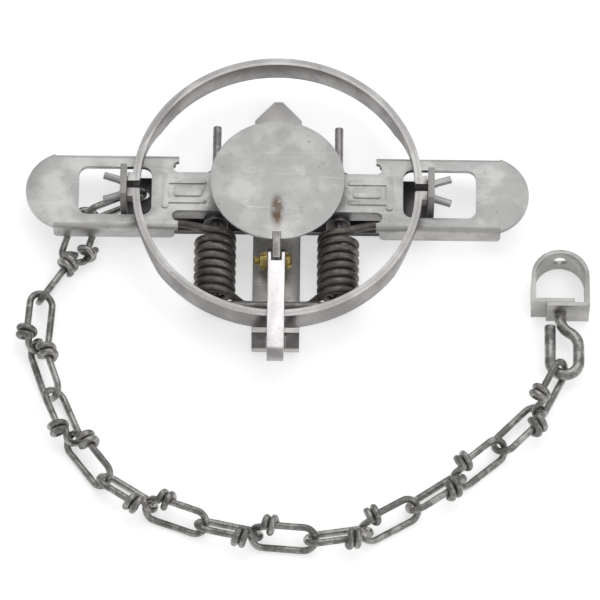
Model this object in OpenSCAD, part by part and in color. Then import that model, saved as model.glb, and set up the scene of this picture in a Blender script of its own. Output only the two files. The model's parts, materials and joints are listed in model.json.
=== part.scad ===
// Two-spring leghold trap in its set position, with its chain and swivel.
// Millimetres. +X runs along the base strip, +Y to the pointed end of the
// cross strip, +Z up. The origin is on the floor, under the middle of the base.

/* [Frame] */
// Width of the base strip
base_w = 24; // [22:0.5:28]
// Thickness of the base strip
base_t = 2.8; // [2:0.1:3.4]
// Height by which the base strip's ends are raised off the floor
base_rise = 4; // [3.8:0.1:5]
// Distance from the jaws' outer edge to the middle of each jaw post
post_gap = 3.8; // [3.4:0.1:5]
// Width of each jaw post
post_w = 14.5; // [13:0.5:17]
// Height of the top of the jaw posts
post_top = 28; // [26:0.5:32]
// Thickness of the ears that hold the spring rod
ear_t = 2.2; // [1.6:0.1:2.4]
// Width of the cross strip
cross_w = 20.6; // [18:0.2:23]
// Thickness of the cross strip
cross_t = 2.4; // [1.8:0.1:3]
// Reach of the cross strip's pointed end
cross_reach = 52; // [48:0.5:60]
// Length of the point
point_l = 9.5; // [6:0.5:14]
// Width of the blunt tip
tip_w = 3.5; // [2:0.5:8]
// Diameter of the rivets that join the strips
rivet_d = 4.4; // [3:0.1:5]

/* [Jaws] */
// Outer radius of the jaws
jaw_r = 63; // [61:0.2:63.4]
// Thickness of the jaw band
jaw_t = 3.2; // [2.6:0.1:4]
// Height of the jaw band
jaw_h = 11.5; // [9:0.5:12]
// Height of the jaw pivots above the floor
jaw_pivot_z = 19.4; // [19:0.1:20.5]
// Distance of each jaw pivot from the middle
jaw_pivot_y = 3.7; // [3.6:0.1:4.6]
// Gap between the closed jaws
jaw_gap = 0.6; // [0.4:0.1:1.2]
// Diameter of the jaw pins
jaw_pin_d = 3.4; // [2.8:0.1:4]
// Length of the splayed pin tips
jaw_tip_l = 7.5; // [4:0.5:9]
// Angle of the splayed pin tips
jaw_splay = 18; // [5:1:25]

/* [Levers] */
// Reach of the levers from the middle
lever_reach = 109.4; // [104:0.2:116]
// Width of the levers
lever_w = 36.4; // [34:0.2:40]
// Thickness of the lever plate
lever_t = 2.2; // [1.6:0.1:2.6]
// Height of the lever's top face above the floor
lever_top = 17; // [16.4:0.1:17.2]
// Height of the lever's folded sides
lever_side = 9; // [7:0.5:9]
// Length of the slot round the jaw post
slot_l = 31.7; // [28:0.1:33]
// Width of the slot
slot_w = 23.6; // [22:0.2:26]
// Height of the stamped ribs
rib_h = 0.7; // [0.3:0.1:0.9]

/* [Springs] */
// Distance of each spring rod leg from the middle
rod_x = 26.7; // [25.5:0.1:27.5]
// Height of the spring rod
rod_z = 9.5; // [9.4:0.1:10]
// Diameter of the spring rod
rod_d = 3.7; // [3:0.1:4.2]
// Reach of the rod's free ends
rod_reach = 36; // [30:1:42]
// Distance of the rod's crossbar from the middle
rod_bar_y = 52; // [51:0.5:54]
// Wire of the springs
spring_d = 3.2; // [2.6:0.1:3.2]
// Outer diameter of the coils
coil_d = 18.4; // [16.8:0.2:18.6]
// Reach of the outer spring arms past the rod
arm_l = 23.3; // [22.5:0.1:24]
// Number of full turns
coil_turns = 7; // [5:1:8]
// Rise of each turn
coil_pitch = 4.1; // [3.7:0.05:4.2]

/* [Pan and dog] */
// Diameter of the pan
pan_d = 58.6; // [54:0.2:60]
// Thickness of the pan
pan_t = 1.6; // [1.2:0.1:2.2]
// Height of the pan's top face
pan_top = 26.6; // [26.4:0.1:28]
// Thickness of the pan shank
shank_t = 3.2; // [2.4:0.1:3.6]
// Diameter of the pan bolt
bolt_d = 4; // [3:0.1:4.6]
// Height of the pan bolt
bolt_z = 13.4; // [13:0.1:14]
// Distance of the pan bolt from the middle
bolt_y = 32; // [31.5:0.1:32.5]
// Width of the dog
dog_w = 7.5; // [7:0.1:9]
// Thickness of the dog
dog_t = 2; // [1.4:0.1:2.2]
// Distance from the jaws' outer edge to the middle of the dog post
dog_post_gap = 6.5; // [6:0.1:8]
// Reach of the dog's loop past the post's bar
dog_loop = 9; // [4:0.5:9]

/* [Chain and swivel] */
// Wire of the chain links
chain_d = 3; // [2.6:0.1:3]
// Length of a link from joint to joint
chain_pitch = 23.5; // [23:0.1:24]
// Outer width of a link
link_w = 13.4; // [13.2:0.1:14]
// Play at each joint
chain_play = 0.8; // [0.7:0.05:0.9]
// Rod of the swivel hook
hook_d = 5; // [4.4:0.1:5.2]
// Radius of the hook's bend
hook_r = 6.1; // [5.8:0.1:7]
// Length of the hook's free end above the middle of its bend
hook_tip_l = 17; // [15:0.5:18]
// Width of the swivel clevis
clevis_w = 25; // [23:0.5:28]
// Length of the swivel clevis
clevis_l = 27.4; // [25:0.2:32]
// Height of the clevis strap
clevis_h = 14.5; // [13:0.5:16]
// Thickness of the clevis strap
clevis_t = 1.8; // [1.4:0.1:2.2]
// Diameter of the anchor hole in the clevis
anchor_d = 6; // [4:0.5:8]

/* [Clearances] */
// Radial clearance of a pin that turns in its hole
run_fit = 0.06; // [0.03:0.01:0.1]
// Gap between pieces that pass each other
pass_gap = 0.3; // [0.25:0.05:0.4]

/* [Hidden] */
$fn = 48;

lever_grey = [0.77, 0.77, 0.76];
jaw_grey = [0.72, 0.71, 0.70];
frame_grey = [0.36, 0.34, 0.34];
spring_brown = [0.29, 0.27, 0.25];
rod_grey = [0.44, 0.42, 0.42];
bright = [0.88, 0.87, 0.86];
brass = [0.80, 0.66, 0.28];
chain_grey = [0.54, 0.53, 0.52];

// Frame
base_flat = 46;                       // half length of the flat middle
base_ramp = 54;                       // where the raised ends begin
post_x = jaw_r + post_gap;            // middle of the jaw posts
post_in = post_x - base_t / 2;
post_out = post_x + base_t / 2;
ear_in = base_w / 2 - ear_t;
ear_r = 5.2;
arm_gap = 0.4;                        // play of a spring arm under the cross strip
coil_r = (coil_d - spring_d) / 2;     // radius of the coil's centre line
arm_z = rod_z - coil_r;               // height of the inner spring arms
cross_lift = arm_z + spring_d / 2 + arm_gap;   // underside in front of the base
cross_top = cross_lift + cross_t;
joggle_y = base_w / 2 + 1;
rivet_y = 6;
rivet_head_h = 1.6;
small_rivet_d = rivet_d - 1.4;        // rivet of the pan bracket

// Jaws
jaw_edge = jaw_pivot_z + jaw_pivot_y - jaw_gap / 2;   // gripping edge
jaw_centre = 1;                       // the rings sit this far off the middle
jaw_low = jaw_edge - jaw_h;
jaw_end_low = jaw_pivot_z - jaw_pin_d / 2 - 0.2;
jaw_tall_x = jaw_r - 12;              // the band is tall up to here
jaw_slim_x = jaw_r - 5;               // and slim from here
jaw_block = 4.4;                      // height and width of the jaw's end
jaw_straight = 1;                     // straight pin outside the post

// Levers
lever_in = 22;                        // inner end of the neck
neck_end = 43;                        // where the lever widens
neck_w = 2 * (ear_in - pass_gap);
slot_x = post_x - 12.1;               // inner end of the slot
slot_round = 4;
side_start = neck_end + 1.5;          // inner end of the folded sides
side_end = 97;                        // outer end of the folded sides
nose_l = 13.5;                        // length of the round outer end
nose_r = (nose_l * nose_l + lever_w * lever_w / 4) / (2 * nose_l);
lever_low = lever_top - lever_side;
fold_r = 2.4;
notch_r = 2.6;
rib_w = 2.2;                          // width of the stamped level bars
rib_y = 4.8;                          // and their distance from the middle
rib_bar_x = neck_end + 5.8;           // middle of the upright bar
rib_bar_w = 3;
rib_bar_l = 17;
rib_l = 18;                           // length of the level bars
rib_mid_l = 12;                       // length and width of the field between them
rib_mid_w = 5;

// Springs
arm_x = rod_x + arm_l;                // tip of the outer spring arm
arm_tip_y = 13.6;
arm_tip_z = lever_top - lever_t - spring_d / 2 - arm_gap;
coil_y = 18.6;                        // where the coil begins
arm_level = neck_end - 1;             // the outer arm is level from here outwards
arm_in = cross_w / 2 - 2.8;           // tip of the inner spring arm
arm_drop = cross_w / 2 + spring_d + 0.5;   // the inner arm comes down here
arm_back = 0.5;                       // and this far behind the coil's end
rod_bend = 6;

// Pan and dog
pan_y = 1;
pan_low = pan_top - pan_t;
nose_y = 36.6;                        // front of the shank's nose
pan_slot_y = 24.6;
bracket_in = shank_t / 2 + 0.4;
bracket_t = 1.9;
bracket_out = bracket_in + bracket_t;
bracket_l = 12;
bracket_floor = 1.8;
bolt_head_d = 7.4;
bolt_head_h = 3.1;
nut_w = 7;
nut_h = 3.4;
dog_post_y = jaw_r + jaw_centre + dog_post_gap;   // middle of the dog post
dog_low = jaw_edge + pass_gap;
dog_curl = 2.5;                       // inner radius of the dog's curl
dog_bar_h = 3.5;
dog_pivot_z = dog_low - dog_curl;
dog_end_y = 33.7;
dog_fork_gap = 0.6;
dog_lip = 32;                         // the loop's end turns up behind the bar by this angle
dog_window_gap = 0.5;

// Chain: heading, roll and joint height of each link, chosen by hand
heading = [-155, -105, -122, -94, -71, -67, -53, -33, -20, -12, -4, 9, 31, 35, 41, 46, 64];
roll = [90, 180, 72, -25, 55, -40, 45, -45, 45, -45, 45, -45, 45, -45, 50, -26, 68];
joint_z = [7, 5.694, 6.3, 7.2, 6.4, 5.8, 5.4, 5.4, 5.4, 5.4, 5.4, 5.4, 5.4, 5.4, 5.6, 5.9, 6.8, 7.25];
links = len(heading);
first_in = 7.3;                       // first joint, inside the left post
link_drop = 1.2;                      // the second link hangs this much below the first's middle
link_half = (link_w - chain_d) / 2;   // half width on the centre line
link_end = (chain_pitch + chain_d + chain_play) / 2 - link_half;
half_play = (chain_d + chain_play) / 2;
knot_r = chain_d + 0.75;              // radius of the wire wrapped on the leg
knot_turns = 1.25;
knot_rise = 120;                      // where the end bend lifts over the leg
chain_hole = chain_d + 2.6;           // hole for the first link's upper leg
chain_slot_l = chain_d + 3.6;         // slot for its inner end, in the raised base
chain_slot_w = chain_d + 2;
chain_slot_at = first_in + 1.25;      // from the post, along the link

function slope(i) = i == 0 ? 0 : asin((joint_z[i + 1] - joint_z[i]) / chain_pitch);
function ahead(i) = [cos(slope(i)) * cos(heading[i]), cos(slope(i)) * sin(heading[i]), sin(slope(i))];
// The second link swings on the end wire of the first
function tuck(i) = i == 1 ? half_play * (ahead(0) - ahead(1)) - [0, 0, link_drop] : [0, 0, 0];
function joint(i) = i == 0
    ? [-post_x, 0, joint_z[0]] - first_in * ahead(0) / cos(slope(0))
    : joint(i - 1) + chain_pitch * ahead(i - 1) + tuck(i - 1);
function link_start(i) = joint(i) + tuck(i);

// Swivel, carried by the last link
hook_gap = 1;
hook_mid = joint(links) + (half_play - chain_d / 2 - hook_gap - hook_d / 2 + hook_r)
    * [cos(heading[links - 1]), sin(heading[links - 1]), 0];   // centre of the hook's bend
swivel_x = hook_mid[0] - 1.6;         // axis of the swivel
swivel_z = clevis_h / 2;
hook_side = hook_mid[0] + hook_r;     // long side of the hook
hook_shift = hook_side - swivel_x;    // sideways step of the neck
hook_neck_l = 13;                     // length of the neck's S bend
hook_sweep = 2 * atan(hook_shift / hook_neck_l);
hook_neck_r = hook_neck_l / (2 * sin(hook_sweep));
hook_neck_y = hook_mid[1] + 7.7;      // lower end of the S bend
hook_top_y = hook_neck_y + hook_neck_l;
clevis_y = hook_top_y + 3;            // outer face of the clevis
tab_y = clevis_y + clevis_t + 0.1;    // second tab
hook_head_y = tab_y + clevis_t + 0.2;
hook_head_h = 2.2;
hook_head_d = hook_d + 3.4;
hook_tip_y = hook_mid[1] + hook_tip_l;
arch_y = clevis_y + clevis_l - clevis_w / 2;

// Shapes along an axis
module along_x(l) { rotate([90, 0, 90]) linear_extrude(l, center = true) children(); }
module along_y(l) { rotate([90, 0, 0]) linear_extrude(l, center = true) children(); }
module rod_x_axis(d, x0, x1) { translate([x0, 0, 0]) rotate([0, 90, 0]) cylinder(d = d, h = x1 - x0); }
module rod_y_axis(d, y0, y1) { translate([0, y1, 0]) rotate([90, 0, 0]) cylinder(d = d, h = y1 - y0); }
module slab(x0, x1, y0, y1, z0, z1) { translate([x0, y0, z0]) cube([x1 - x0, y1 - y0, z1 - z0]); }
module both_sides() { children(); mirror([1, 0, 0]) children(); }

module round_slot(l, w, r) {
    square([l - 2 * r, w], center = true);
    square([l, w - 2 * r], center = true);
    for (sx = [-1, 1], sy = [-1, 1])
        translate([sx * (l / 2 - r), sy * (w / 2 - r)]) circle(r);
}

// Wire swept along a list of points, six sides
function unit(v) = v / norm(v);
function tangent(p, i) = unit(p[min(i + 1, len(p) - 1)] - p[max(i - 1, 0)]);
function first_normal(t) = unit(cross(t, abs(t[2]) < 0.9 ? [0, 0, 1] : [1, 0, 0]));
function normals(p, i = 0, n = [0, 0, 0], out = []) = i == len(p) ? out
    : let (t = tangent(p, i), m = i == 0 ? first_normal(t) : unit(n - (n * t) * t))
      normals(p, i + 1, m, concat(out, [m]));

module wire(p, d, sides = 6) {
    n = normals(p);
    rings = len(p);
    points = [for (i = [0:rings - 1]) let (b = cross(tangent(p, i), n[i]))
        for (k = [0:sides - 1]) p[i] + d / 2 * (cos(360 * k / sides) * n[i] + sin(360 * k / sides) * b)];
    faces = concat(
        [for (k = [1:sides - 2]) [0, k, k + 1]],
        [for (i = [0:rings - 2], k = [0:sides - 1]) let (a = i * sides + k, b = i * sides + (k + 1) % sides)
            [a, a + sides, b]],
        [for (i = [0:rings - 2], k = [0:sides - 1]) let (a = i * sides + k, b = i * sides + (k + 1) % sides)
            [b, a + sides, b + sides]],
        [for (k = [1:sides - 2]) let (e = (rings - 1) * sides) [e, e + k + 1, e + k]]);
    polyhedron(points, faces);
}

// Least gap of a wire to itself, from its points to its far stretches
function to_stretch(q, a, b) = let (u = b - a, t = max(0, min(1, (q - a) * u / (u * u)))) norm(q - a - t * u);
function run(p, i = 0, s = 0, out = [0]) = i == len(p) - 1 ? out
    : let (e = s + norm(p[i + 1] - p[i])) run(p, i + 1, e, concat(out, [e]));
function self_gap(p, d) = let (s = run(p))
    min([for (i = [0:len(p) - 1], j = [0:len(p) - 2])
        if (s[j] - s[i] > 2.5 * d || s[i] - s[j + 1] > 2.5 * d) to_stretch(p[i], p[j], p[j + 1])]) - d;

// Base strip with its jaw posts and the ears of the spring rod
module base_frame() color(frame_grey) difference() {
    union() {
        intersection() {
            along_y(base_w) polygon(concat(
                [for (q = base_side()) q],
                [for (i = [len(base_side()) - 1:-1:0]) [-base_side()[i][0], base_side()[i][1]]]));
            union() {
                slab(-post_out, post_out, -base_w / 2, base_w / 2, 0, base_rise + base_t);
                slab(-post_out, post_out, -post_w / 2, post_w / 2, 0, post_top);
            }
        }
        both_sides() for (s = [-1, 1]) translate([rod_x, s * (ear_in + ear_t / 2), 0]) along_y(ear_t) {
            translate([-ear_r, base_t / 2]) square([2 * ear_r, rod_z - base_t / 2]);
            translate([0, rod_z]) circle(ear_r);
        }
    }
    for (s = [-1, 1]) {
        translate([0, s * jaw_pivot_y, jaw_pivot_z])
            rod_x_axis(jaw_pin_d + 2 * run_fit, -post_out - 1, post_out + 1);
        translate([s * rod_x, 0, rod_z]) rod_y_axis(rod_d + 2 * run_fit, -base_w, base_w);
        translate([0, s * rivet_y, -1]) cylinder(d = rivet_d + 2 * run_fit, h = base_t + 2);
    }
    translate([0, 0, joint_z[0] + link_half]) rod_x_axis(chain_hole, -post_out - 1, -post_in + 1);
    translate([-post_x, 0, 0]) rotate([0, 0, heading[0]]) translate([-chain_slot_at, 0, 0])
        linear_extrude(base_rise + base_t + 1) round_slot(chain_slot_l, chain_slot_w, chain_slot_w / 2 - 0.1);
}

function base_side() = [
    [0, 0], [base_flat, 0], [base_ramp, base_rise], [post_out, base_rise], [post_out, post_top],
    [post_in, post_top], [post_in, base_rise + base_t], [base_ramp, base_rise + base_t],
    [base_flat, base_t], [0, base_t]];

// Cross strip with its point and the dog post
module cross_strip() color(frame_grey) difference() {
    intersection() {
        along_x(cross_w) polygon([
            [cross_reach, base_t], [cross_reach, base_t + cross_t],
            [-joggle_y, base_t + cross_t], [-joggle_y - 3, cross_top],
            [-dog_post_y + cross_t / 2, cross_top], [-dog_post_y + cross_t / 2, dog_pivot_z + dog_bar_h / 2],
            [-dog_post_y - cross_t / 2, dog_pivot_z + dog_bar_h / 2], [-dog_post_y - cross_t / 2, cross_lift],
            [-joggle_y - 3, cross_lift], [-joggle_y, base_t]]);
        linear_extrude(post_top) polygon([
            [cross_w / 2, -dog_post_y - cross_t], [cross_w / 2, cross_reach - point_l],
            [tip_w / 2, cross_reach], [-tip_w / 2, cross_reach],
            [-cross_w / 2, cross_reach - point_l], [-cross_w / 2, -dog_post_y - cross_t]]);
    }
    slab(-dog_w / 2 - dog_window_gap, dog_w / 2 + dog_window_gap, -dog_post_y - cross_t, -dog_post_y + cross_t,
         dog_pivot_z - dog_loop - dog_curl - dog_t - dog_window_gap, dog_pivot_z - dog_bar_h / 2);
    for (s = [-1, 1]) translate([0, s * rivet_y, 0]) cylinder(d = rivet_d + 2 * run_fit, h = 2 * cross_top);
    translate([0, -bolt_y, 0]) cylinder(d = small_rivet_d + 2 * run_fit, h = 2 * cross_top);
}

// Rivets through both strips
module frame_rivets() color(frame_grey) for (s = [-1, 1]) translate([0, s * rivet_y, 0]) {
    translate([0, 0, 0.1]) cylinder(d = rivet_d, h = base_t + cross_t);
    translate([0, 0, base_t + cross_t]) cylinder(d = rivet_d + 4, h = rivet_head_h);
}

// U-shaped rod through both springs, the pin of both levers
module spring_rod() color(rod_grey) translate([0, 0, rod_z]) {
    both_sides() {
        translate([rod_x, 0, 0]) rod_y_axis(rod_d, -rod_bar_y + rod_bend, rod_reach);
        translate([rod_x - rod_bend, -rod_bar_y + rod_bend, 0]) rotate([0, 0, -90])
            rotate_extrude(angle = 90) translate([rod_bend, 0]) circle(d = rod_d);
    }
    translate([0, -rod_bar_y, 0]) rod_x_axis(rod_d, -rod_x + rod_bend, rod_x - rod_bend);
}

// Spring: outer arm under the lever and over the coil's top, inner arm down and under the cross strip
function touch_angle(x, z, s) = atan2(z - rod_z, x - rod_x) + s * acos(coil_r / norm([x - rod_x, z - rod_z]));
coil_from = touch_angle(arm_level, arm_tip_z, 1);
coil_to = 360 * (coil_turns + 1) + touch_angle(arm_drop, arm_z, -1);
coil_steps = 8 * coil_turns;
coil_end = -coil_y - coil_pitch * (coil_to - coil_from) / 360;
function coil_point(a) = [
    rod_x + coil_r * cos(a), -coil_y - coil_pitch * (a - coil_from) / 360, rod_z + coil_r * sin(a)];
spring_path = concat(
    [[arm_x, -arm_tip_y, arm_tip_z], [arm_level, -arm_tip_y, arm_tip_z]],
    [for (k = [0:coil_steps]) coil_point(coil_from + (coil_to - coil_from) * k / coil_steps)],
    [[arm_drop, coil_end + arm_back, arm_z], [arm_in, coil_end + arm_back, arm_z]]);

module coil_spring() { color(spring_brown) wire(spring_path, spring_d); }
module right_spring() { coil_spring(); }
module left_spring() { mirror([1, 0, 0]) coil_spring(); }

// Lever: slotted plate with folded sides, hinged on the rod by its neck
module lever_plan() {
    difference() {
        union() {
            translate([neck_end, -lever_w / 2]) square([lever_reach - nose_l - neck_end, lever_w]);
            intersection() {
                translate([lever_reach - nose_r, 0]) circle(nose_r, $fn = 96);
                translate([lever_reach - nose_l - 1, -lever_w / 2]) square([nose_l + 2, lever_w]);
            }
            translate([lever_in, -neck_w / 2]) square([neck_end - lever_in + 1, neck_w]);
        }
        translate([slot_x + slot_l / 2, 0]) round_slot(slot_l, slot_w, slot_round);
        for (s = [-1, 1]) translate([neck_end, s * (neck_w / 2 + notch_r)]) circle(notch_r);
    }
}

module fold_cut(x0, x1) {
    translate([(x0 + x1) / 2, lever_w / 2 - fold_r, lever_top - fold_r]) along_x(x1 - x0) difference() {
        square(fold_r + 1);
        circle(fold_r);
    }
}

module lever_ribs() {
    translate([rib_bar_x, 0]) round_slot(rib_bar_w, rib_bar_l, 1.4);
    for (s = [-1, 1]) translate([rib_bar_x - rib_l / 2, s * rib_y]) round_slot(rib_l, rib_w, 1);
    translate([neck_end - 4, 0]) round_slot(rib_mid_l, rib_mid_w, 1);
}

module lever() color(lever_grey) difference() {
    union() {
        translate([0, 0, lever_top - lever_t]) linear_extrude(lever_t) lever_plan();
        for (s = [-1, 1]) {
            translate([0, s * (lever_w / 2 - lever_t / 2), 0]) along_y(lever_t)
                translate([(side_start + side_end) / 2, (lever_low + lever_top) / 2]) {
                    round_slot(side_end - side_start, lever_side, 2.5);
                    translate([(side_start - side_end) / 2, 0]) square([side_end - side_start, lever_side / 2]);
                }
            translate([0, s * (neck_w / 2 - lever_t / 2), 0]) along_y(lever_t) {
                translate([lever_in, rod_z]) square([neck_end - lever_in + notch_r, lever_top - rod_z]);
                translate([rod_x, rod_z]) circle(rod_x - lever_in);
            }
        }
        translate([0, 0, lever_top - 0.2]) linear_extrude(rib_h + 0.2) lever_ribs();
    }
    translate([rod_x, 0, rod_z]) rod_y_axis(rod_d + 2 * run_fit, -lever_w, lever_w);
    fold_cut(neck_end - 1, side_end);
    mirror([0, 1, 0]) fold_cut(neck_end - 1, side_end);
}
module right_lever() { lever(); }
module left_lever() { mirror([1, 0, 0]) lever(); }

// Jaw: half-round band, ends turned out to pins in the posts
module jaw() color(jaw_grey) {
    intersection() {
        translate([0, -jaw_centre, jaw_low]) rotate([0, 0, 180])
            rotate_extrude(angle = 180, $fn = 128) translate([jaw_r - jaw_t, 0]) square([jaw_t, jaw_h]);
        along_y(3 * jaw_r) polygon([
            [-jaw_r, jaw_edge], [jaw_r, jaw_edge], [jaw_r, jaw_end_low], [jaw_slim_x, jaw_end_low],
            [jaw_tall_x, jaw_low], [-jaw_tall_x, jaw_low], [-jaw_slim_x, jaw_end_low], [-jaw_r, jaw_end_low]]);
        slab(-jaw_r, jaw_r, -2 * jaw_r, -jaw_pivot_y + 1.5, 0, post_top);
    }
    both_sides() {
        translate([0, -jaw_pivot_y, jaw_pivot_z]) {
            slab(jaw_r - jaw_t + 0.4, post_in - pass_gap, -jaw_block / 2, jaw_pin_d / 2 + 0.2,
                 jaw_end_low - jaw_pivot_z, jaw_edge - jaw_pivot_z);
            rod_x_axis(jaw_pin_d, post_in - 2, post_out + jaw_straight);
            translate([post_out, 0, 0]) rotate([0, 0, -jaw_splay]) rod_x_axis(jaw_pin_d - 0.1, 0, jaw_tip_l);
        }
    }
}
module front_jaw() { jaw(); }
module rear_jaw() { mirror([0, 1, 0]) jaw(); }

// Pan with the slot for its shank
module pan() color(lever_grey) difference() {
    translate([0, pan_y, pan_low]) cylinder(d = pan_d, h = pan_t, $fn = 128);
    slab(-shank_t / 2 - 0.1, shank_t / 2 + 0.1, -pan_d, -pan_slot_y, 0, 2 * pan_top);
}

// Shank on edge: rib under the pan, nose in the dog's fork, eye on the bolt
module pan_shank() color(rod_grey) difference() {
    along_x(shank_t) {
        polygon([
            [8, pan_low], [-pan_slot_y + 0.1, pan_low], [-pan_slot_y - 0.1, pan_top], [-pan_d / 2 + pan_y, pan_top],
            [-nose_y, pan_top - 1.1], [-nose_y, pan_top - 5.2], [-bolt_y - 3.8, bolt_z],
            [-bolt_y + 3.8, bolt_z], [-bolt_y + 5, pan_low - 5], [0, pan_low - 3]]);
        translate([-bolt_y, bolt_z]) circle(3.8);
    }
    translate([0, -bolt_y, bolt_z]) rod_x_axis(bolt_d + 2 * run_fit, -shank_t, shank_t);
}

// Bracket that carries the pan bolt
module pan_bracket() color(rod_grey) difference() {
    union() {
        slab(-bracket_out, bracket_out, -bolt_y - bracket_l / 2, -bolt_y + bracket_l / 2,
             cross_top, cross_top + bracket_floor);
        for (s = [-1, 1]) translate([s * (bracket_in + bracket_t / 2), 0, 0]) along_x(bracket_t) {
            translate([-bolt_y - bracket_l / 2, cross_top]) square([bracket_l, bolt_z - cross_top]);
            translate([-bolt_y, bolt_z]) circle(bolt_d / 2 + 2.2);
        }
    }
    translate([0, -bolt_y, bolt_z]) rod_x_axis(bolt_d + 2 * run_fit, -2 * bracket_out, 2 * bracket_out);
    translate([0, -bolt_y, 0]) cylinder(d = small_rivet_d + 2 * run_fit, h = bolt_z - bolt_d);
}

module bracket_rivet() color(rod_grey) translate([0, -bolt_y, 0]) {
    translate([0, 0, cross_lift]) cylinder(d = small_rivet_d, h = cross_top + bracket_floor - cross_lift);
    translate([0, 0, cross_top + bracket_floor]) cylinder(d = small_rivet_d + 0.5, h = 0.6);
}

// Brass bolt and hexagonal nut
module pan_bolt() color(brass) translate([0, -bolt_y, bolt_z]) {
    rod_x_axis(bolt_d, -bracket_out - nut_h - 2.4, bracket_out);
    rod_x_axis(bolt_head_d, bracket_out, bracket_out + bolt_head_h);
}
module pan_nut() color(brass) translate([0, -bolt_y, bolt_z]) difference() {
    translate([-bracket_out - nut_h, 0, 0]) rotate([0, 90, 0]) cylinder(d = nut_w / cos(30), h = nut_h, $fn = 6);
    rod_x_axis(bolt_d + 2 * run_fit, -bracket_out - 2 * nut_h, 0);
}

// Dog: strip over the front jaw, forked at the pan, looped through the post and round its bar
module dog_bend(y, from, angle) {
    translate([0, y, dog_pivot_z]) rotate([90, 0, 90]) rotate([0, 0, 90 + from])
        rotate_extrude(angle = angle) translate([dog_curl, -dog_w / 2]) square([dog_t, dog_w]);
}
module dog() color(bright) {
    difference() {
        slab(-dog_w / 2, dog_w / 2, -dog_post_y - dog_loop, -dog_end_y, dog_low, dog_low + dog_t);
        slab(-shank_t / 2 - dog_fork_gap, shank_t / 2 + dog_fork_gap, -nose_y - 2 * dog_fork_gap, 0, 0, 2 * pan_top);
    }
    dog_bend(-dog_post_y - dog_loop, 0, 180);
    slab(-dog_w / 2, dog_w / 2, -dog_post_y - dog_loop, -dog_post_y,
         dog_pivot_z - dog_curl - dog_t, dog_pivot_z - dog_curl);
    dog_bend(-dog_post_y, 180, dog_lip);
}

// Chain link: end bend, legs, and the wire's end wrapped on its own leg
function bend(s, a0, a1, n) = [for (k = [0:n]) let (a = a0 + (a1 - a0) * k / n)
    [s * (link_end + link_half * sin(a)), -link_half * cos(a), 0]];
function lift(a) = let (u = max(0, (a - knot_rise) / (180 - knot_rise))) knot_r * u * u * (3 - 2 * u);
link_path = concat(
    [[link_end - 0.5, -link_half, 0]],
    bend(-1, 0, 180, 8),
    [for (k = [0:8]) let (a = 180 * k / 8) [link_end + link_half * sin(a), link_half * cos(a), lift(a)]],
    [for (k = [1:8 * knot_turns]) let (a = 360 * k / 8)
        [link_end - knot_r * k / 8, -link_half - knot_r * sin(a), knot_r * cos(a)]]);

module plain_link() {
    for (s = [-1, 1]) {
        translate([0, s * link_half, 0]) rod_x_axis(chain_d, -link_end, link_end);
        translate([s * link_end, 0, 0]) rotate([0, 0, -90 * s])
            rotate_extrude(angle = 180) translate([link_half, 0]) circle(d = chain_d);
    }
}

module chain_link(i) color(chain_grey)
    translate(link_start(i) + chain_pitch / 2 * ahead(i))
    rotate([0, 0, heading[i]]) rotate([0, -slope(i), 0]) rotate([roll[i], 0, 0]) {
        if (i == 0) plain_link();
        else rotate([0, 0, i % 2 == 1 ? 0 : 180]) wire(link_path, chain_d);
    }

// Hook: head in the clevis, S-bent neck, round bend through the last link
function hook_arc(x, y, r, from, to, n) = [for (k = [0:n]) let (a = from + (to - from) * k / n)
    [x + r * cos(a), y + r * sin(a), swivel_z]];
hook_path = concat(
    [[swivel_x, hook_top_y + 2, swivel_z]],
    hook_arc(swivel_x + hook_neck_r, hook_top_y, hook_neck_r, 180, 180 + hook_sweep, 5),
    [for (q = hook_arc(hook_side - hook_neck_r, hook_neck_y, hook_neck_r, hook_sweep, 0, 5))
        if (q[1] < hook_neck_y + hook_neck_l / 2 - 0.1) q],
    hook_arc(hook_mid[0], hook_mid[1], hook_r, 0, -180, 12),
    [[hook_mid[0] - hook_r, hook_tip_y, swivel_z]]);

module swivel_hook() color(chain_grey) {
    translate([swivel_x, 0, swivel_z]) {
        rod_y_axis(hook_d, hook_top_y, hook_head_y + hook_head_h);
        rod_y_axis(hook_head_d, hook_head_y, hook_head_y + hook_head_h);
    }
    wire(hook_path, hook_d - 0.1, 12);
}

// Clevis: bent strap, its two ends lapped round the hook
module clevis_plan() {
    inner = clevis_w / 2 - clevis_t;
    difference() {
        union() {
            translate([0, arch_y]) circle(d = clevis_w, $fn = 96);
            translate([-clevis_w / 2, clevis_y]) square([clevis_w, arch_y - clevis_y]);
        }
        translate([0, arch_y]) circle(inner, $fn = 96);
        translate([-inner, clevis_y - 1]) square([2 * inner, arch_y - clevis_y + 1]);
        translate([-clevis_w, clevis_y - 1]) square([clevis_w, tab_y - clevis_y + 1]);
    }
    translate([-inner - 0.1, tab_y]) square([inner + hook_d + 1.1, clevis_t]);
    translate([-hook_d - 1, clevis_y]) square([inner + hook_d + 1.1, clevis_t]);
}
module swivel_clevis() color(chain_grey) difference() {
    translate([swivel_x, 0, 0]) linear_extrude(clevis_h) clevis_plan();
    translate([swivel_x, 0, swivel_z]) {
        rod_y_axis(hook_d + 2 * run_fit, clevis_y - 1, hook_head_y);
        rod_y_axis(anchor_d, arch_y, arch_y + clevis_w);
    }
}

echo(spring_self_gap = self_gap(spring_path, spring_d));
echo(link_self_gap = self_gap(link_path, chain_d));
echo(joints = [for (i = [0:links]) joint(i)]);
echo(swivel = [swivel_x, clevis_y, swivel_z], hook_mid = hook_mid);

base_frame();
cross_strip();
frame_rivets();
spring_rod();
left_spring();
right_spring();
left_lever();
right_lever();
front_jaw();
rear_jaw();
pan();
pan_shank();
pan_bracket();
bracket_rivet();
pan_bolt();
pan_nut();
dog();
for (i = [0:links - 1]) {
    name = str("chain_link_", i < 9 ? "0" : "", i + 1);
    chain_link(i);
}
swivel_hook();
swivel_clevis();
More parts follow.
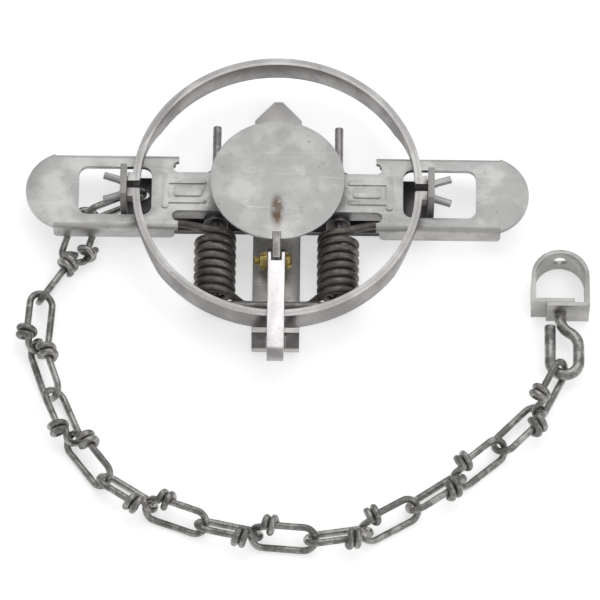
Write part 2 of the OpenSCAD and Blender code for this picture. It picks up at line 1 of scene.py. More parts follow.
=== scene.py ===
"""Looks of a set two-spring leghold trap with its chain and swivel."""

import json
import math

import bmesh
import bpy
from bpy.props import FloatProperty, FloatVectorProperty, IntProperty, PointerProperty
from bpy.types import Operator, Panel, PropertyGroup
from mathutils import Matrix, Vector


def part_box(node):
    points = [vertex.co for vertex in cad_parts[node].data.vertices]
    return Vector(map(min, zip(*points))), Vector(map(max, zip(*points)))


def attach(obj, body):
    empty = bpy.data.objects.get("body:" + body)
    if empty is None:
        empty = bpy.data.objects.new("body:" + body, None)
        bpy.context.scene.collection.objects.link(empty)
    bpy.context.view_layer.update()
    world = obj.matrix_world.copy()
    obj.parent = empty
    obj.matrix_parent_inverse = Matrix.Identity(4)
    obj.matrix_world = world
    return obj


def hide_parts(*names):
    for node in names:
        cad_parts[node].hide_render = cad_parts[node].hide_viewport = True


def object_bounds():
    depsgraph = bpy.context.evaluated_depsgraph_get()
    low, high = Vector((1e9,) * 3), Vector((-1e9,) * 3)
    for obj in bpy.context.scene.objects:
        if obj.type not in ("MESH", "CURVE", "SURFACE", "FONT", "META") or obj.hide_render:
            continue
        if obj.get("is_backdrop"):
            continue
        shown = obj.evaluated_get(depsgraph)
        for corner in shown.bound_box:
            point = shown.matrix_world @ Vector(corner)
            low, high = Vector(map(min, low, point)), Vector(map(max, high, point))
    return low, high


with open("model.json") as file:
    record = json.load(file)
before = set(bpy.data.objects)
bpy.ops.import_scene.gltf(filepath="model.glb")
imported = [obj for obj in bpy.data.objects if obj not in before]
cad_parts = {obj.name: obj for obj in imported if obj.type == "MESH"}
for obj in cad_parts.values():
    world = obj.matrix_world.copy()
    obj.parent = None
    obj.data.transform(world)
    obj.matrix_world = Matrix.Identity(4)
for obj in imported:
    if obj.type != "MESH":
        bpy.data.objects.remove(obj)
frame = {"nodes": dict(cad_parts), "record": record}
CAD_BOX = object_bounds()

bl_info = {
    "name": "Leghold trap looks",
    "version": (1, 0, 0),
    "blender": (4, 5, 0),
    "location": "3D View > Sidebar > Trap",
    "description": "Wire pieces, worn steel and the stage of a set leghold trap",
    "category": "Object",
}

MM = 0.001
NODES = frame["nodes"]

# Chain, in millimetres and degrees: heading, roll and joint height of each link, as in the solid model
HEADING = (-155, -105, -122, -94, -71, -67, -53, -33, -20, -12, -4, 9, 31, 35, 41, 46, 64)
ROLL = (90, 180, 72, -25, 55, -40, 45, -45, 45, -45, 45, -45, 45, -45, 50, -26, 68)
JOINT_Z = (7, 5.694, 6.3, 7.2, 6.4, 5.8, 5.4, 5.4, 5.4, 5.4, 5.4, 5.4, 5.4, 5.4, 5.6, 5.9, 6.8, 7.25)
# Left jaw post, the first link's reach inside it and the second link's drop
POST_X = 66.8
FIRST_IN = 7.3
LINK_DROP = 1.2
# Knots: clearance from the leg and between turns, where the end bend starts to lift, gap at the wire's start
KNOT_GAP = 0.2
TURN_GAP = 0.25
KNOT_RISE = 120
START_GAP = 0.5
# Points of an end bend and of a leg
BEND_STEPS = 28
LEG_STEPS = 6

# Springs, in millimetres, as in the solid model: rod, start of the coil and half the cross strip
ROD_X = 26.7
ROD_Z = 9.5
COIL_Y = 18.6
STRIP_HALF = 10.3
# Outer arm: reach past the rod, place across, bend, underside of the lever and clearance from it
ARM_REACH = 23.3
ARM_Y = 13.6
ARM_BEND_X = 42
LEVER_UNDER = 14.8
ARM_GAP = 0.4
# Inner arm: clearance beside the strip, step back from the coil and reach under the strip
INNER_GAP = 0.5
INNER_BACK = 0.5
INNER_REACH = 2.8
# Points of one turn
TURN_STEPS = 40

# Swivel, in millimetres, as in the solid model: play in the last link, axis beside the bend's middle, height
HOOK_PLAY = 1
AXIS_SHIFT = 1.6
HOOK_Z = 7.25
# Hook's neck: start above the bend's middle, length, and distance of its top from the clevis
NECK_FROM = 7.7
NECK_LONG = 13
CLEVIS_GAP = 3
# Points of the shank past the clevis and above the neck, of the side below the neck and of the free side
SHANK_PAST = (5, 2)
SHANK_ABOVE = 1
SIDE_BELOW = 3
FREE_SIDE = (4, 9, 14, 17)
# Points of one bend of the neck and of the round bend
NECK_STEPS = 10
HOOK_STEPS = 32
# Hook's head: seat past the clevis's face, depth, start and end of its rim, width over the rod
HEAD_SEAT = 3.9
HEAD_DEEP = 2.2
HEAD_RIM = (0.25, 0.5)
HEAD_OVER = 3.4
# The drawn rod is slimmer than the solid one by this much
ROD_SLIM = 0.1

# Bolt, in millimetres: shaft's radius, point, thread's pitch, groove and end, head's length, edge and dome
SHAFT = 2
POINT = 0.5
THREADS = 7
THREAD_PITCH = 0.7
THREAD_GROOVE = 0.3
THREAD_END = 5.7
BOLT_HEAD = 3.1
HEAD_EDGE = 0.4
DOME_FROM = 0.8
DOME_HIGH = 2.3
# Points of a domed head
DOME_STEPS = 8

# Copies of the solids: nearer points are one, flatter faces are one, sharper edges are rounded
SAME_POINT = 2e-6
FLAT_BELOW = math.radians(0.6)
SHARP_ABOVE = math.radians(32)
# Faces that point up more than this take the upper finish, a lighter copy as painted light from above
UPWARD = 0.7


def length(name, value, text):
    return FloatProperty(
        name=name, description=text, default=value, subtype="DISTANCE", unit="LENGTH", precision=5)


def colour(name, value, text):
    return FloatVectorProperty(
        name=name, description=text, default=value, subtype="COLOR", size=3, min=0, max=1)


def turns(name, value, text):
    return FloatProperty(name=name, description=text, default=value)


class TrapSizes(PropertyGroup):
    """Sizes of the wire pieces and of the worn edges."""

    spring_wire: length("Spring wire", 0.0035, "Wire of the coil springs")
    coil_width: length("Coil width", 0.0184, "Outer diameter of the coils")
    coil_pitch: length("Coil pitch", 0.0041, "Rise of one turn")
    coil_turns: IntProperty(
        name="Coil turns", description="Full turns of each spring", default=7, min=1, max=12)
    chain_wire: length("Chain wire", 0.003, "Wire of the chain links")
    link_pitch: length("Link pitch", 0.0235, "Length of a link from joint to joint")
    link_width: length("Link width", 0.0134, "Outer width of a link")
    link_play: length("Link play", 0.0008, "Play at each joint")
    knot_turns: turns("Knot turns", 1.6, "Turns of the wire's end round its leg")
    near_turns: turns("Near knot turns", 1.25, "Turns on the link beside the lever")
    hook_rod: length("Hook rod", 0.005, "Rod of the swivel hook")
    hook_bend: length("Hook bend", 0.0061, "Radius of the hook's bend")
    plate_round: length("Plate rounding", 0.00045, "Rounding of the stamped plates' edges")
    strip_round: length("Strip rounding", 0.0003, "Rounding of the frame's edges")
    bracket_round: length("Bracket rounding", 0.00018, "Rounding of the pan bracket's edges")
    cross_round: length("Cross strip rounding", 0.00012, "Rounding of the cross strip's edges")
    nut_round: length("Nut rounding", 0.0004, "Rounding of the nut's edges")


class TrapFinish(PropertyGroup):
    """Colours of the trap's metals and of the floor."""

    plate: colour("Plate", (0.55, 0.546, 0.535), "Stamped levers and pan")
    # Lever sides: the plate's colour made a little darker as painted shade
    side: colour("Plate side", (0.53, 0.521, 0.512), "Folded sides of the levers")
    # Jaw sides darker as painted shade; jaw tops lighter as painted light
    jaw: colour("Jaw", (0.385, 0.373, 0.366), "Sides of the jaw bands")
    jaw_top: colour("Jaw top", (0.57, 0.56, 0.55), "Gripping edges of the jaws")
    edge: colour("Worn edge", (0.74, 0.73, 0.72), "Edges worn bright")
    # Frame strips: dark as painted shade from the pan and levers above
    strip: colour("Strip", (0.115, 0.106, 0.106), "Frame strips")
    # Cross strip's upper faces: lighter than its sides as painted light
    strip_top: colour("Strip top", (0.60, 0.588, 0.568), "Upper faces of the cross strip")
    spring: colour("Spring", (0.195, 0.178, 0.162), "Coil springs")
    rod: colour("Rod", (0.36, 0.345, 0.34), "Spring rod, shank and bracket")
    bright: colour("Bright strip", (0.96, 0.926, 0.928), "Dog")
    # Front of the dog's loop: darker as painted shade
    bend: colour("Bend", (0.38, 0.37, 0.365), "Loop of the dog")
    brass: colour("Brass", (0.82, 0.64, 0.24), "Bolt and nut")
    chain: colour("Chain", (0.40, 0.392, 0.375), "Chain and hook")
    clevis: colour("Clevis", (0.49, 0.483, 0.467), "Clevis strap")
    # Upper ends of the jaw posts: painted light; lower down the posts keep the dark strip colour as painted
    # shade
    post: colour("Post", (0.40, 0.39, 0.38), "Upper ends of the jaw posts")
    rust: colour("Rust", (0.13, 0.083, 0.052), "Stain on the pan")
    floor: colour("Floor", (0.86, 0.86, 0.86), "Floor under the trap")


def sizes():
    return bpy.context.scene.trap_sizes


def finish():
    return bpy.context.scene.trap_finish


# Materials


class Shader:
    """A material's node tree, with short calls for the nodes that every finish uses."""

    def __init__(self, name):
        self.material = bpy.data.materials.new(name)
        self.material.use_nodes = True
        self.tree = self.material.node_tree
        self.tree.nodes.clear()
        self.place = self.add("ShaderNodeTexCoord").outputs["Object"]

    def add(self, kind, **settings):
        made = self.tree.nodes.new(kind)
        for key, value in settings.items():
            setattr(made, key, value)
        return made

    def feed(self, socket, value):
        if isinstance(value, bpy.types.NodeSocket):
            self.tree.links.new(value, socket)
        else:
            socket.default_value = value

    def mapped(self, scale, turn=(0, 0, 0), shift=(0, 0, 0)):
        m = self.add("ShaderNodeMapping")
        self.feed(m.inputs["Vector"], self.place)
        m.inputs["Scale"].default_value = scale
        m.inputs["Rotation"].default_value = turn
        m.inputs["Location"].default_value = shift
        return m.outputs["Vector"]

    def noise(self, scale, detail, rough, at=None):
        n = self.add("ShaderNodeTexNoise")
        self.feed(n.inputs["Vector"], at or self.place)
        for key, value in (("Scale", scale), ("Detail", detail), ("Roughness", rough)):
            n.inputs[key].default_value = value
        return n.outputs["Fac"]

    def ramp(self, value, low, high, out_low=0.0, out_high=1.0):
        r = self.add("ShaderNodeMapRange", interpolation_type="SMOOTHSTEP")
        self.feed(r.inputs["Value"], value)
        for key, v in (("From Min", low), ("From Max", high), ("To Min", out_low), ("To Max", out_high)):
            r.inputs[key].default_value = v
        return r.outputs["Result"]

    def math(self, kind, a, b=0.0):
        m = self.add("ShaderNodeMath", operation=kind)
        self.feed(m.inputs[0], a)
        self.feed(m.inputs[1], b)
        return m.outputs["Value"]

    def mix(self, share, a, b):
        m = self.add("ShaderNodeMix", data_type="RGBA")
        self.feed(m.inputs["Factor"], share)
        self.feed(m.inputs["A"], a)
        self.feed(m.inputs["B"], b)
        return m.outputs["Result"]

    def split(self):
        """The place on the piece as its three coordinates."""
        made = self.add("ShaderNodeSeparateXYZ")
        self.feed(made.inputs["Vector"], self.place)
        return made.outputs

    def bump(self, height, strength, depth):
        b = self.add("ShaderNodeBump")
        self.feed(b.inputs["Height"], height)
        b.inputs["Strength"].default_value = strength
        b.inputs["Distance"].default_value = depth
        return b.outputs["Normal"]

    def metal(self, base, rough, normal, metallic):
        p = self.add("ShaderNodeBsdfPrincipled")
        self.feed(p.inputs["Base Color"], base)
        self.feed(p.inputs["Roughness"], rough)
        self.feed(p.inputs["Normal"], normal)
        p.inputs["Metallic"].default_value = metallic
        out = self.add("ShaderNodeOutputMaterial")
        self.tree.links.new(p.outputs["BSDF"], out.inputs["Surface"])
        return self.material


def rgba(value, gain=1.0):
    return (*(min(1.0, c * gain) for c in value), 1.0)


def rolled_steel(name, base, dark, light, rough, metallic=0.85, streak=(30, 700, 700), patch=None):
    """Dull steel: cloudy tone, fine grain, hair scratches and, where given, a patch of another colour."""
    s = Shader(name)
    cloud = s.ramp(s.noise(scale=55, detail=6, rough=0.65), low=0.36, high=0.66)
    tone = s.mix(cloud, rgba(base, dark), rgba(base))
    grain = s.noise(scale=1500, detail=3, rough=0.7)
    tone = s.mix(s.ramp(grain, low=0.45, high=0.75, out_high=0.35), tone, rgba(base, light))
    pits = s.ramp(s.noise(scale=420, detail=2, rough=0.5), low=0.66, high=0.74)
    tone = s.mix(s.math("MULTIPLY", pits, 0.45), tone, rgba(base, gain=0.45))
    lines = s.noise(scale=1, detail=3, rough=0.6, at=s.mapped(streak, turn=(0, 0, 0.35)))
    hair = s.ramp(lines, low=0.62, high=0.70)
    tone = s.mix(s.math("MULTIPLY", hair, 0.35), tone, rgba(base, gain=1.3))
    if patch is not None:
        where, shade = patch
        tone = s.mix(where(s), tone, rgba(shade))
    dull = s.ramp(cloud, low=0, high=1, out_low=rough + 0.08, out_high=rough - 0.06)
    gloss = s.math("ADD", dull, s.ramp(grain, low=0.3, high=0.7, out_low=-0.05, out_high=0.05))
    waves = s.math("SUBTRACT", s.math("MULTIPLY", cloud, 0.5), pits)
    height = s.math("ADD", s.math("MULTIPLY", grain, 0.35), waves)
    return s.metal(tone, gloss, s.bump(height, strength=0.22, depth=0.0002), metallic)


def drawn_wire(name, base, dark, rough, metallic=0.8, rust=0.0):
    """Wire with scale in patches, rubbed spots, fine grain and, where given, a little rust."""
    s = Shader(name)
    patch = s.ramp(s.noise(scale=140, detail=5, rough=0.7), low=0.40, high=0.62)
    tone = s.mix(patch, rgba(base, dark), rgba(base))
    rub = s.ramp(s.noise(scale=320, detail=3, rough=0.6), low=0.58, high=0.72)
    tone = s.mix(s.math("MULTIPLY", rub, 0.5), tone, rgba(base, gain=1.7))
    grain = s.noise(scale=1900, detail=2, rough=0.6)
    tone = s.mix(s.ramp(grain, low=0.5, high=0.8, out_high=0.3), tone, rgba(base, gain=0.5))
    if rust:
        spots = s.ramp(s.noise(scale=90, detail=4, rough=0.6), low=0.60, high=0.78, out_high=rust)
        tone = s.mix(spots, tone, rgba(finish().rust))
    dull = s.ramp(patch, low=0, high=1, out_low=rough + 0.14, out_high=rough - 0.04)
    gloss = s.math("ADD", dull, s.ramp(grain, low=0.3, high=0.7, out_low=-0.06, out_high=0.06))
    height = s.math("ADD", s.math("MULTIPLY", grain, 0.4), patch)
    return s.metal(tone, gloss, s.bump(height, strength=0.25, depth=0.00015), metallic)


def turned_brass(name, base):
    """Brass with turning marks and darker tarnish."""
    s = Shader(name)
    tarnish = s.ramp(s.noise(scale=260, detail=4, rough=0.6), low=0.38, high=0.68)
    tone = s.mix(tarnish, rgba(base, gain=0.5), rgba(base, gain=1.1))
    marks = s.noise(scale=1, detail=2, rough=0.5, at=s.mapped((2600, 220, 220)))
    gloss = s.ramp(tarnish, low=0, high=1, out_low=0.42, out_high=0.24)
    return s.metal(tone, gloss, s.bump(marks, strength=0.15, depth=0.0001), metallic=0.9)


# Patches: where on a piece, in metres, a finish takes its second colour


def pan_stain(s):
    """Brown streak in front of the pan's middle, broken up by noise."""
    spot = s.add("ShaderNodeVectorMath", operation="LENGTH")
    s.feed(spot.inputs[0], s.mapped(scale=(270, 95, 0), shift=(0, 1.36, 0)))
    core = s.ramp(spot.outputs["Value"], low=0.30, high=1.05, out_low=0.95, out_high=0.0)
    return s.math("MULTIPLY", core, s.ramp(s.noise(scale=220, detail=4, rough=0.7), low=0.26, high=0.55))


def lit_post_ends(s):
    """Upper ends of the two posts, not the ears between them, painted lighter towards the top as painted
    light.
    """
    at = s.split()
    outside = s.ramp(s.math("ABSOLUTE", at["X"]), low=0.055, high=0.060)
    return s.math("MULTIPLY", outside, s.ramp(at["Z"], low=0.010, high=0.021, out_high=0.85))


def post_foot_highlight(s):
    """Lower bend of the dog post, made lighter as a painted highlight."""
    at = s.split()
    front = s.ramp(at["Y"], low=-0.071, high=-0.0705, out_low=1.0, out_high=0.0)
    return s.math("MULTIPLY", front, s.ramp(at["Z"], low=0.0065, high=0.0085, out_low=0.9, out_high=0.0))


def lit_strip_tip(s):
    """Pointed end of the cross strip, behind the pan, made lighter as painted light."""
    return s.ramp(s.split()["Y"], low=0.020, high=0.026)


def shaded_loop_front(s):
    """Front of the dog's loop, made darker as painted shade."""
    return s.ramp(s.split()["Y"], low=-0.0812, high=-0.0792, out_low=0.92, out_high=0.0)


def groove(s):
    """Fine line along the middle of the gripping edges, which bend about a point beside the trap's middle."""
    beside, radius = 0.001, 0.0615
    at = s.split()
    across = s.math("SUBTRACT", s.math("ABSOLUTE", at["Y"]), beside)
    squares = s.math("ADD", s.math("MULTIPLY", at["X"], at["X"]), s.math("MULTIPLY", across, across))
    off = s.math("ABSOLUTE", s.math("SUBTRACT", s.math("SQRT", squares), radius))
    return s.ramp(off, low=0.0002, high=0.0006, out_low=0.6, out_high=0.0)


def finishes():
    """Maker and settings of each finish."""
    f = finish()
    # Frame strip finish: dark as painted shade from the pan and levers above
    strip = dict(base=f.strip, dark=0.6, light=1.35, rough=0.46, metallic=0.75)
    return {
        "plate_steel": (rolled_steel, dict(base=f.plate, dark=0.86, light=1.12, rough=0.44)),
        # Lever sides: plate steel a little darker as painted shade; upper faces take plate_steel
        "plate_side": (rolled_steel, dict(base=f.side, dark=0.8, light=1.15, rough=0.46)),
        "pan_steel": (rolled_steel, dict(
            base=f.plate, dark=0.86, light=1.12, rough=0.42, patch=(pan_stain, f.rust))),
        # Jaw sides: darker copy as painted shade; the tops take the lighter copy as painted light
        "jaw_steel": (rolled_steel, dict(base=f.jaw, dark=0.74, light=1.15, rough=0.44)),
        "jaw_top": (rolled_steel, dict(
            base=f.jaw_top, dark=0.85, light=1.1, rough=0.40, patch=(groove, f.jaw))),
        "worn_edge": (rolled_steel, dict(base=f.edge, dark=0.78, light=1.1, rough=0.34)),
        # Dark as painted shade, with a painted highlight on the dog post's lower bend
        "strip_steel": (rolled_steel, dict(strip, patch=(post_foot_highlight, f.strip_top))),
        # Cross strip's upper faces: lighter than the dark sides as painted light
        "strip_top": (rolled_steel, dict(
            # The pointed tip is made lighter still as painted light
            base=f.strip_top, dark=0.7, light=1.25, rough=0.46, metallic=0.75, patch=(lit_strip_tip, f.edge))),
        # Base frame: dark strip colour as painted shade, upper post ends lighter as painted light
        "post_steel": (rolled_steel, dict(strip, patch=(lit_post_ends, f.post))),
        "strip_edge": (rolled_steel, dict(base=f.strip_top, dark=0.8, light=1.4, rough=0.40, metallic=0.8)),
        "rod_steel": (drawn_wire, dict(base=f.rod, dark=0.7, rough=0.40)),
        "bright_steel": (rolled_steel, dict(
            base=f.bright, dark=0.90, light=1.08, rough=0.42, metallic=0.9, streak=(14, 420, 420),
            # The loop's front is darker as painted shade
            patch=(shaded_loop_front, f.bend))),
        "spring_steel": (drawn_wire, dict(base=f.spring, dark=0.62, rough=0.40, metallic=0.7)),
        "chain_steel": (drawn_wire, dict(base=f.chain, dark=0.45, rough=0.32, metallic=0.85, rust=0.10)),
        "clevis_steel": (rolled_steel, dict(base=f.clevis, dark=0.7, light=1.3, rough=0.40, metallic=0.8)),
        "brass": (turned_brass, dict(base=f.brass)),
    }


def steel(kind):
    """A finish, made at its first use, under a name that the frame's own materials don't have."""
    name = "trap_" + kind
    found = bpy.data.materials.get(name)
    if found:
        return found
    maker, settings = finishes()[kind]
    return maker(name, **settings)


# Meshes


def add_object(name, data):
    made = bpy.data.objects.new(name, data)
    bpy.context.scene.collection.objects.link(made)
    return made


def settle(made, node, body):
    """Let a finished piece stand for its solid and move with its body."""
    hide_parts(node)
    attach(made, body)


def body_of(node):
    for body, members in frame["record"]["behaviour"]["bodies"].items():
        if node in members:
            return body
    raise RuntimeError("no body holds " + node)


def dress(node, kind):
    """Give a solid that stays its finish."""
    mesh = NODES[node].data
    mesh.materials.clear()
    mesh.materials.append(steel(kind))


def rounded(name, node, face, edge, width, top=None):
    """Copy of a solid with rounded, worn edges and, where given, a lighter finish on its upper faces as
    painted light from above.
    """
    bm = bmesh.new()
    bm.from_mesh(NODES[node].data)
    bmesh.ops.remove_doubles(bm, verts=bm.verts, dist=SAME_POINT)
    bmesh.ops.dissolve_limit(bm, angle_limit=FLAT_BELOW, verts=bm.verts, edges=bm.edges)
    bmesh.ops.recalc_face_normals(bm, faces=bm.faces)
    for f in bm.faces:
        f.smooth = True
        # Upper faces take the lighter finish, painted light from above
        f.material_index = 2 if top and f.normal.z > UPWARD else 0
    mesh = bpy.data.meshes.new(name)
    bm.to_mesh(mesh)
    bm.free()
    mesh.materials.append(steel(face))
    mesh.materials.append(steel(edge))
    if top:
        mesh.materials.append(steel(top))
    made = add_object(name, mesh)
    bevel = made.modifiers.new("edges", "BEVEL")
    bevel.width = width
    bevel.segments = 2
    bevel.limit_method = "ANGLE"
    bevel.angle_limit = SHARP_ABOVE
    bevel.material = 1
    bevel.harden_normals = True
    keep_result(made)
    settle(made, node, body_of(node))


def keep_result(made):
    """Turn an object's modifiers into its plain mesh."""
    graph = bpy.context.evaluated_depsgraph_get()
    mesh = bpy.data.meshes.new_from_object(made.evaluated_get(graph), depsgraph=graph)
    made.modifiers.clear()
    made.data = mesh


def sweep_tree():
    """Geometry nodes that sweep a round wire along a line of edges."""
    found = bpy.data.node_groups.get("wire_sweep")
    if found:
        return found
    tree = bpy.data.node_groups.new("wire_sweep", "GeometryNodeTree")
    face = tree.interface
    face.new_socket("Line", in_out="INPUT", socket_type="NodeSocketGeometry")
    face.new_socket("Wire", in_out="INPUT", socket_type="NodeSocketFloat")
    face.new_socket("Sides", in_out="INPUT", socket_type="NodeSocketInt")
    face.new_socket("Finish", in_out="INPUT", socket_type="NodeSocketMaterial")
    face.new_socket("Swept", in_out="OUTPUT", socket_type="NodeSocketGeometry")
    add = tree.nodes.new
    given, out = add("NodeGroupInput"), add("NodeGroupOutput")
    line, ring = add("GeometryNodeMeshToCurve"), add("GeometryNodeCurvePrimitiveCircle")
    swept, smooth = add("GeometryNodeCurveToMesh"), add("GeometryNodeSetShadeSmooth")
    real, dressed = add("GeometryNodeRealizeInstances"), add("GeometryNodeSetMaterial")
    half = add("ShaderNodeMath")
    half.operation = "DIVIDE"
    half.inputs[1].default_value = 2.0
    swept.inputs["Fill Caps"].default_value = True
    for a, b in (
        (given.outputs["Line"], line.inputs["Mesh"]),
        (given.outputs["Wire"], half.inputs[0]),
        (half.outputs["Value"], ring.inputs["Radius"]),
        (given.outputs["Sides"], ring.inputs["Resolution"]),
        (line.outputs["Curve"], swept.inputs["Curve"]),
        (ring.outputs["Curve"], swept.inputs["Profile Curve"]),
        (swept.outputs["Mesh"], smooth.inputs["Geometry"]),
        (smooth.outputs["Geometry"], real.inputs["Geometry"]),
        (real.outputs["Geometry"], dressed.inputs["Geometry"]),
        (given.outputs["Finish"], dressed.inputs["Material"]),
        (dressed.outputs["Geometry"], out.inputs["Swept"]),
    ):
        tree.links.new(a, b)
    return tree


def swept_wire(name, points, wire, kind, sides, closed=False):
    """Plain mesh of a wire along points, in metres."""
    n = len(points)
    edges = [(i, i + 1) for i in range(n - 1)] + ([(n - 1, 0)] if closed else [])
    mesh = bpy.data.meshes.new(name)
    mesh.from_pydata([tuple(p) for p in points], edges, [])
    made = add_object(name, mesh)
    sweep = made.modifiers.new("sweep", "NODES")
    sweep.node_group = sweep_tree()
    inputs = [i for i in sweep.node_group.interface.items_tree if i.in_out == "INPUT"]
    keys = {i.name: i.identifier for i in inputs}
    sweep[keys["Wire"]] = wire
    sweep[keys["Sides"]] = sides
    sweep[keys["Finish"]] = steel(kind)
    keep_result(made)
    for p in made.data.polygons:
        p.use_smooth = len(p.vertices) <= 4
    return made


def turned(name, profile, place, kind, around=40):
    """Solid of revolution: profile of (along, radius) pairs, turned about place's X axis."""
    bm = bmesh.new()
    rings = []
    for along, radius in profile:
        angles = (2 * math.pi * k / around for k in range(around))
        points = [Vector((along, radius * math.cos(a), radius * math.sin(a))) for a in angles]
        rings.append([bm.verts.new(place @ p) for p in points])
    for low, high in zip(rings, rings[1:]):
        for k in range(around):
            j = (k + 1) % around
            bm.faces.new((low[k], low[j], high[j], high[k]))
    bm.faces.new(rings[0][::-1])
    bm.faces.new(rings[-1])
    bmesh.ops.recalc_face_normals(bm, faces=bm.faces)
    for f in bm.faces:
        f.smooth = len(f.verts) == 4
    mesh = bpy.data.meshes.new(name)
    bm.to_mesh(mesh)
    bm.free()
    mesh.set_sharp_from_angle(angle=math.radians(35))
    mesh.materials.append(steel(kind))
    return add_object(name, mesh)


def dome(start, high, radius, power, first):
    """Profile of a domed head from its rim to near its top, from the given step on."""
    angles = (math.pi / 2 * k / DOME_STEPS for k in range(first, DOME_STEPS))
    return [(start + high * math.sin(a), radius * math.cos(a) ** power) for a in angles]


def joined(name, *parts):
    """One object from several, with the first one's finishes."""
    bm = bmesh.new()
    for p in parts:
        bm.from_mesh(p.data)
    mesh = bpy.data.meshes.new(name)
    bm.to_mesh(mesh)
    bm.free()
    for m in parts[0].data.materials:
        mesh.materials.append(m)
    for p in parts:
        bpy.data.objects.remove(p)
    return add_object(name, mesh)


# Lines of the wire pieces, worked out in millimetres


def polar(cx, cy, r, a):
    return cx + r * math.cos(math.radians(a)), cy + r * math.sin(math.radians(a))


def spring_line(side):
    """Outer arm under the lever and over the coil's top, inner arm down and under the cross strip."""
    s = sizes()
    wire, pitch, count = s.spring_wire / MM, s.coil_pitch / MM, s.coil_turns
    radius = (s.coil_width - s.spring_wire) / MM / 2
    tip = Vector((ROD_X + ARM_REACH, -ARM_Y, LEVER_UNDER - wire / 2 - ARM_GAP))
    level = Vector((ARM_BEND_X, tip.y, tip.z))
    drop, low = STRIP_HALF + wire + INNER_GAP, ROD_Z - radius

    def touch(x, z, way):
        """Angle at which a straight arm from a point meets the coil."""
        reach = math.hypot(x - ROD_X, z - ROD_Z)
        return math.degrees(math.atan2(z - ROD_Z, x - ROD_X) + way * math.acos(radius / reach))

    start = touch(level.x, level.z, 1)
    end = 360 * (count + 1) + touch(drop, low, -1)
    steps = TURN_STEPS * count
    coil = []
    for k in range(steps + 1):
        a = start + (end - start) * k / steps
        x, z = polar(ROD_X, ROD_Z, radius, a)
        coil.append(Vector((x, -COIL_Y - pitch * (a - start) / 360, z)))
    foot = Vector((drop, coil[-1].y + INNER_BACK, low))
    inner = Vector((STRIP_HALF - INNER_REACH, foot.y, low))
    line = [tip] + bent(tip, level, coil[0]) + coil + bent(coil[-1], foot, inner) + [inner]
    return [Vector((side * p.x, p.y, p.z)) * MM for p in line]


def bent(a, corner, b, reach=2.5, n=8):
    """Points of a soft bend at a corner between a and b."""
    p = corner + (a - corner).normalized() * reach
    q = corner + (b - corner).normalized() * reach
    return [p.lerp(corner, t).lerp(corner.lerp(q, t), t) for t in (k / n for k in range(n + 1))]


def leg(a, b):
    """Points from a up to, not including, b."""
    return [a.lerp(b, k / LEG_STEPS) for k in range(LEG_STEPS)]


def slope(i):
    return math.asin((JOINT_Z[i + 1] - JOINT_Z[i]) / (sizes().link_pitch / MM)) if i else 0.0


def ahead(i):
    """Direction of a link."""
    h, flat = math.radians(HEADING[i]), math.cos(slope(i))
    return Vector((flat * math.cos(h), flat * math.sin(h), math.sin(slope(i))))


def half_play():
    return (sizes().chain_wire + sizes().link_play) / MM / 2


def tuck(i):
    """Shift of the second link, which hangs in the first one's bend."""
    return half_play() * (ahead(0) - ahead(1)) - Vector((0, 0, LINK_DROP)) if i == 1 else Vector()


def joint(i):
    """Where a link starts."""
    if i == 0:
        return Vector((-POST_X, 0, JOINT_Z[0])) - FIRST_IN * ahead(0) / math.cos(slope(0))
    return joint(i - 1) + sizes().link_pitch / MM * ahead(i - 1) + tuck(i - 1)


def link_shape():
    """Half the width between a link's legs, and the distance of its bends from its middle."""
    s = sizes()
    half = (s.link_width - s.chain_wire) / MM / 2
    return half, (s.link_pitch + s.chain_wire + s.link_play) / MM / 2 - half


def plain_line():
    """The first link about its middle: a closed loop."""
    half, end = link_shape()
    line = []
    for k in range(2 * BEND_STEPS):
        a = math.pi * (k + 0.5) / BEND_STEPS
        middle = math.copysign(end, math.cos(a))
        line.append(Vector((middle + half * math.cos(a), half * math.sin(a), 0)))
    return line


def knotted_line(wraps):
    """A link about its middle: two end bends, two legs, the wire's end wrapped on one leg."""
    half, end = link_shape()
    wire = sizes().chain_wire / MM
    knot, lead = wire + KNOT_GAP, wire + TURN_GAP
    bend = [math.pi * k / BEND_STEPS for k in range(BEND_STEPS + 1)]
    line = leg(Vector((end - START_GAP, -half, 0)), Vector((-end, -half, 0)))
    line += [Vector((-end - half * math.sin(a), -half * math.cos(a), 0)) for a in bend]
    line += leg(Vector((-end, half, 0)), Vector((end, half, 0)))[1:]
    for a in bend:
        u = max(0.0, (math.degrees(a) - KNOT_RISE) / (180 - KNOT_RISE))
        line.append(Vector((end + half * math.sin(a), half * math.cos(a), knot * u * u * (3 - 2 * u))))
    for k in range(1, int(BEND_STEPS * wraps) + 1):
        a = 2 * math.pi * k / BEND_STEPS
        line.append(Vector((end - lead * k / BEND_STEPS, -half - knot * math.sin(a), knot * math.cos(a))))
    return line


def placed_link(i):
    """A link's line where it lies in the chain, in metres."""
    s = sizes()
    at = joint(i) + tuck(i) + s.link_pitch / MM / 2 * ahead(i)
    turn = (Matrix.Rotation(math.radians(HEADING[i]), 3, "Z") @ Matrix.Rotation(-slope(i), 3, "Y")
            @ Matrix.Rotation(math.radians(ROLL[i]), 3, "X"))
    if i and i % 2 == 0:
        turn = turn @ Matrix.Rotation(math.pi, 3, "Z")
    line = knotted_line(s.near_turns if i == 1 else s.knot_turns) if i else plain_line()
    return [(turn @ p + at) * MM for p in line]


def hook_places():
    """Middle of the hook's bend, the swivel's axis and the clevis's face."""
    s = sizes()
    h = math.radians(HEADING[-1])
    off = half_play() + (s.hook_bend - s.hook_rod / 2 - s.chain_wire / 2) / MM - HOOK_PLAY
    middle = joint(len(HEADING)) + off * Vector((math.cos(h), math.sin(h), 0))
    return middle, middle.x - AXIS_SHIFT, middle.y + NECK_FROM + NECK_LONG + CLEVIS_GAP


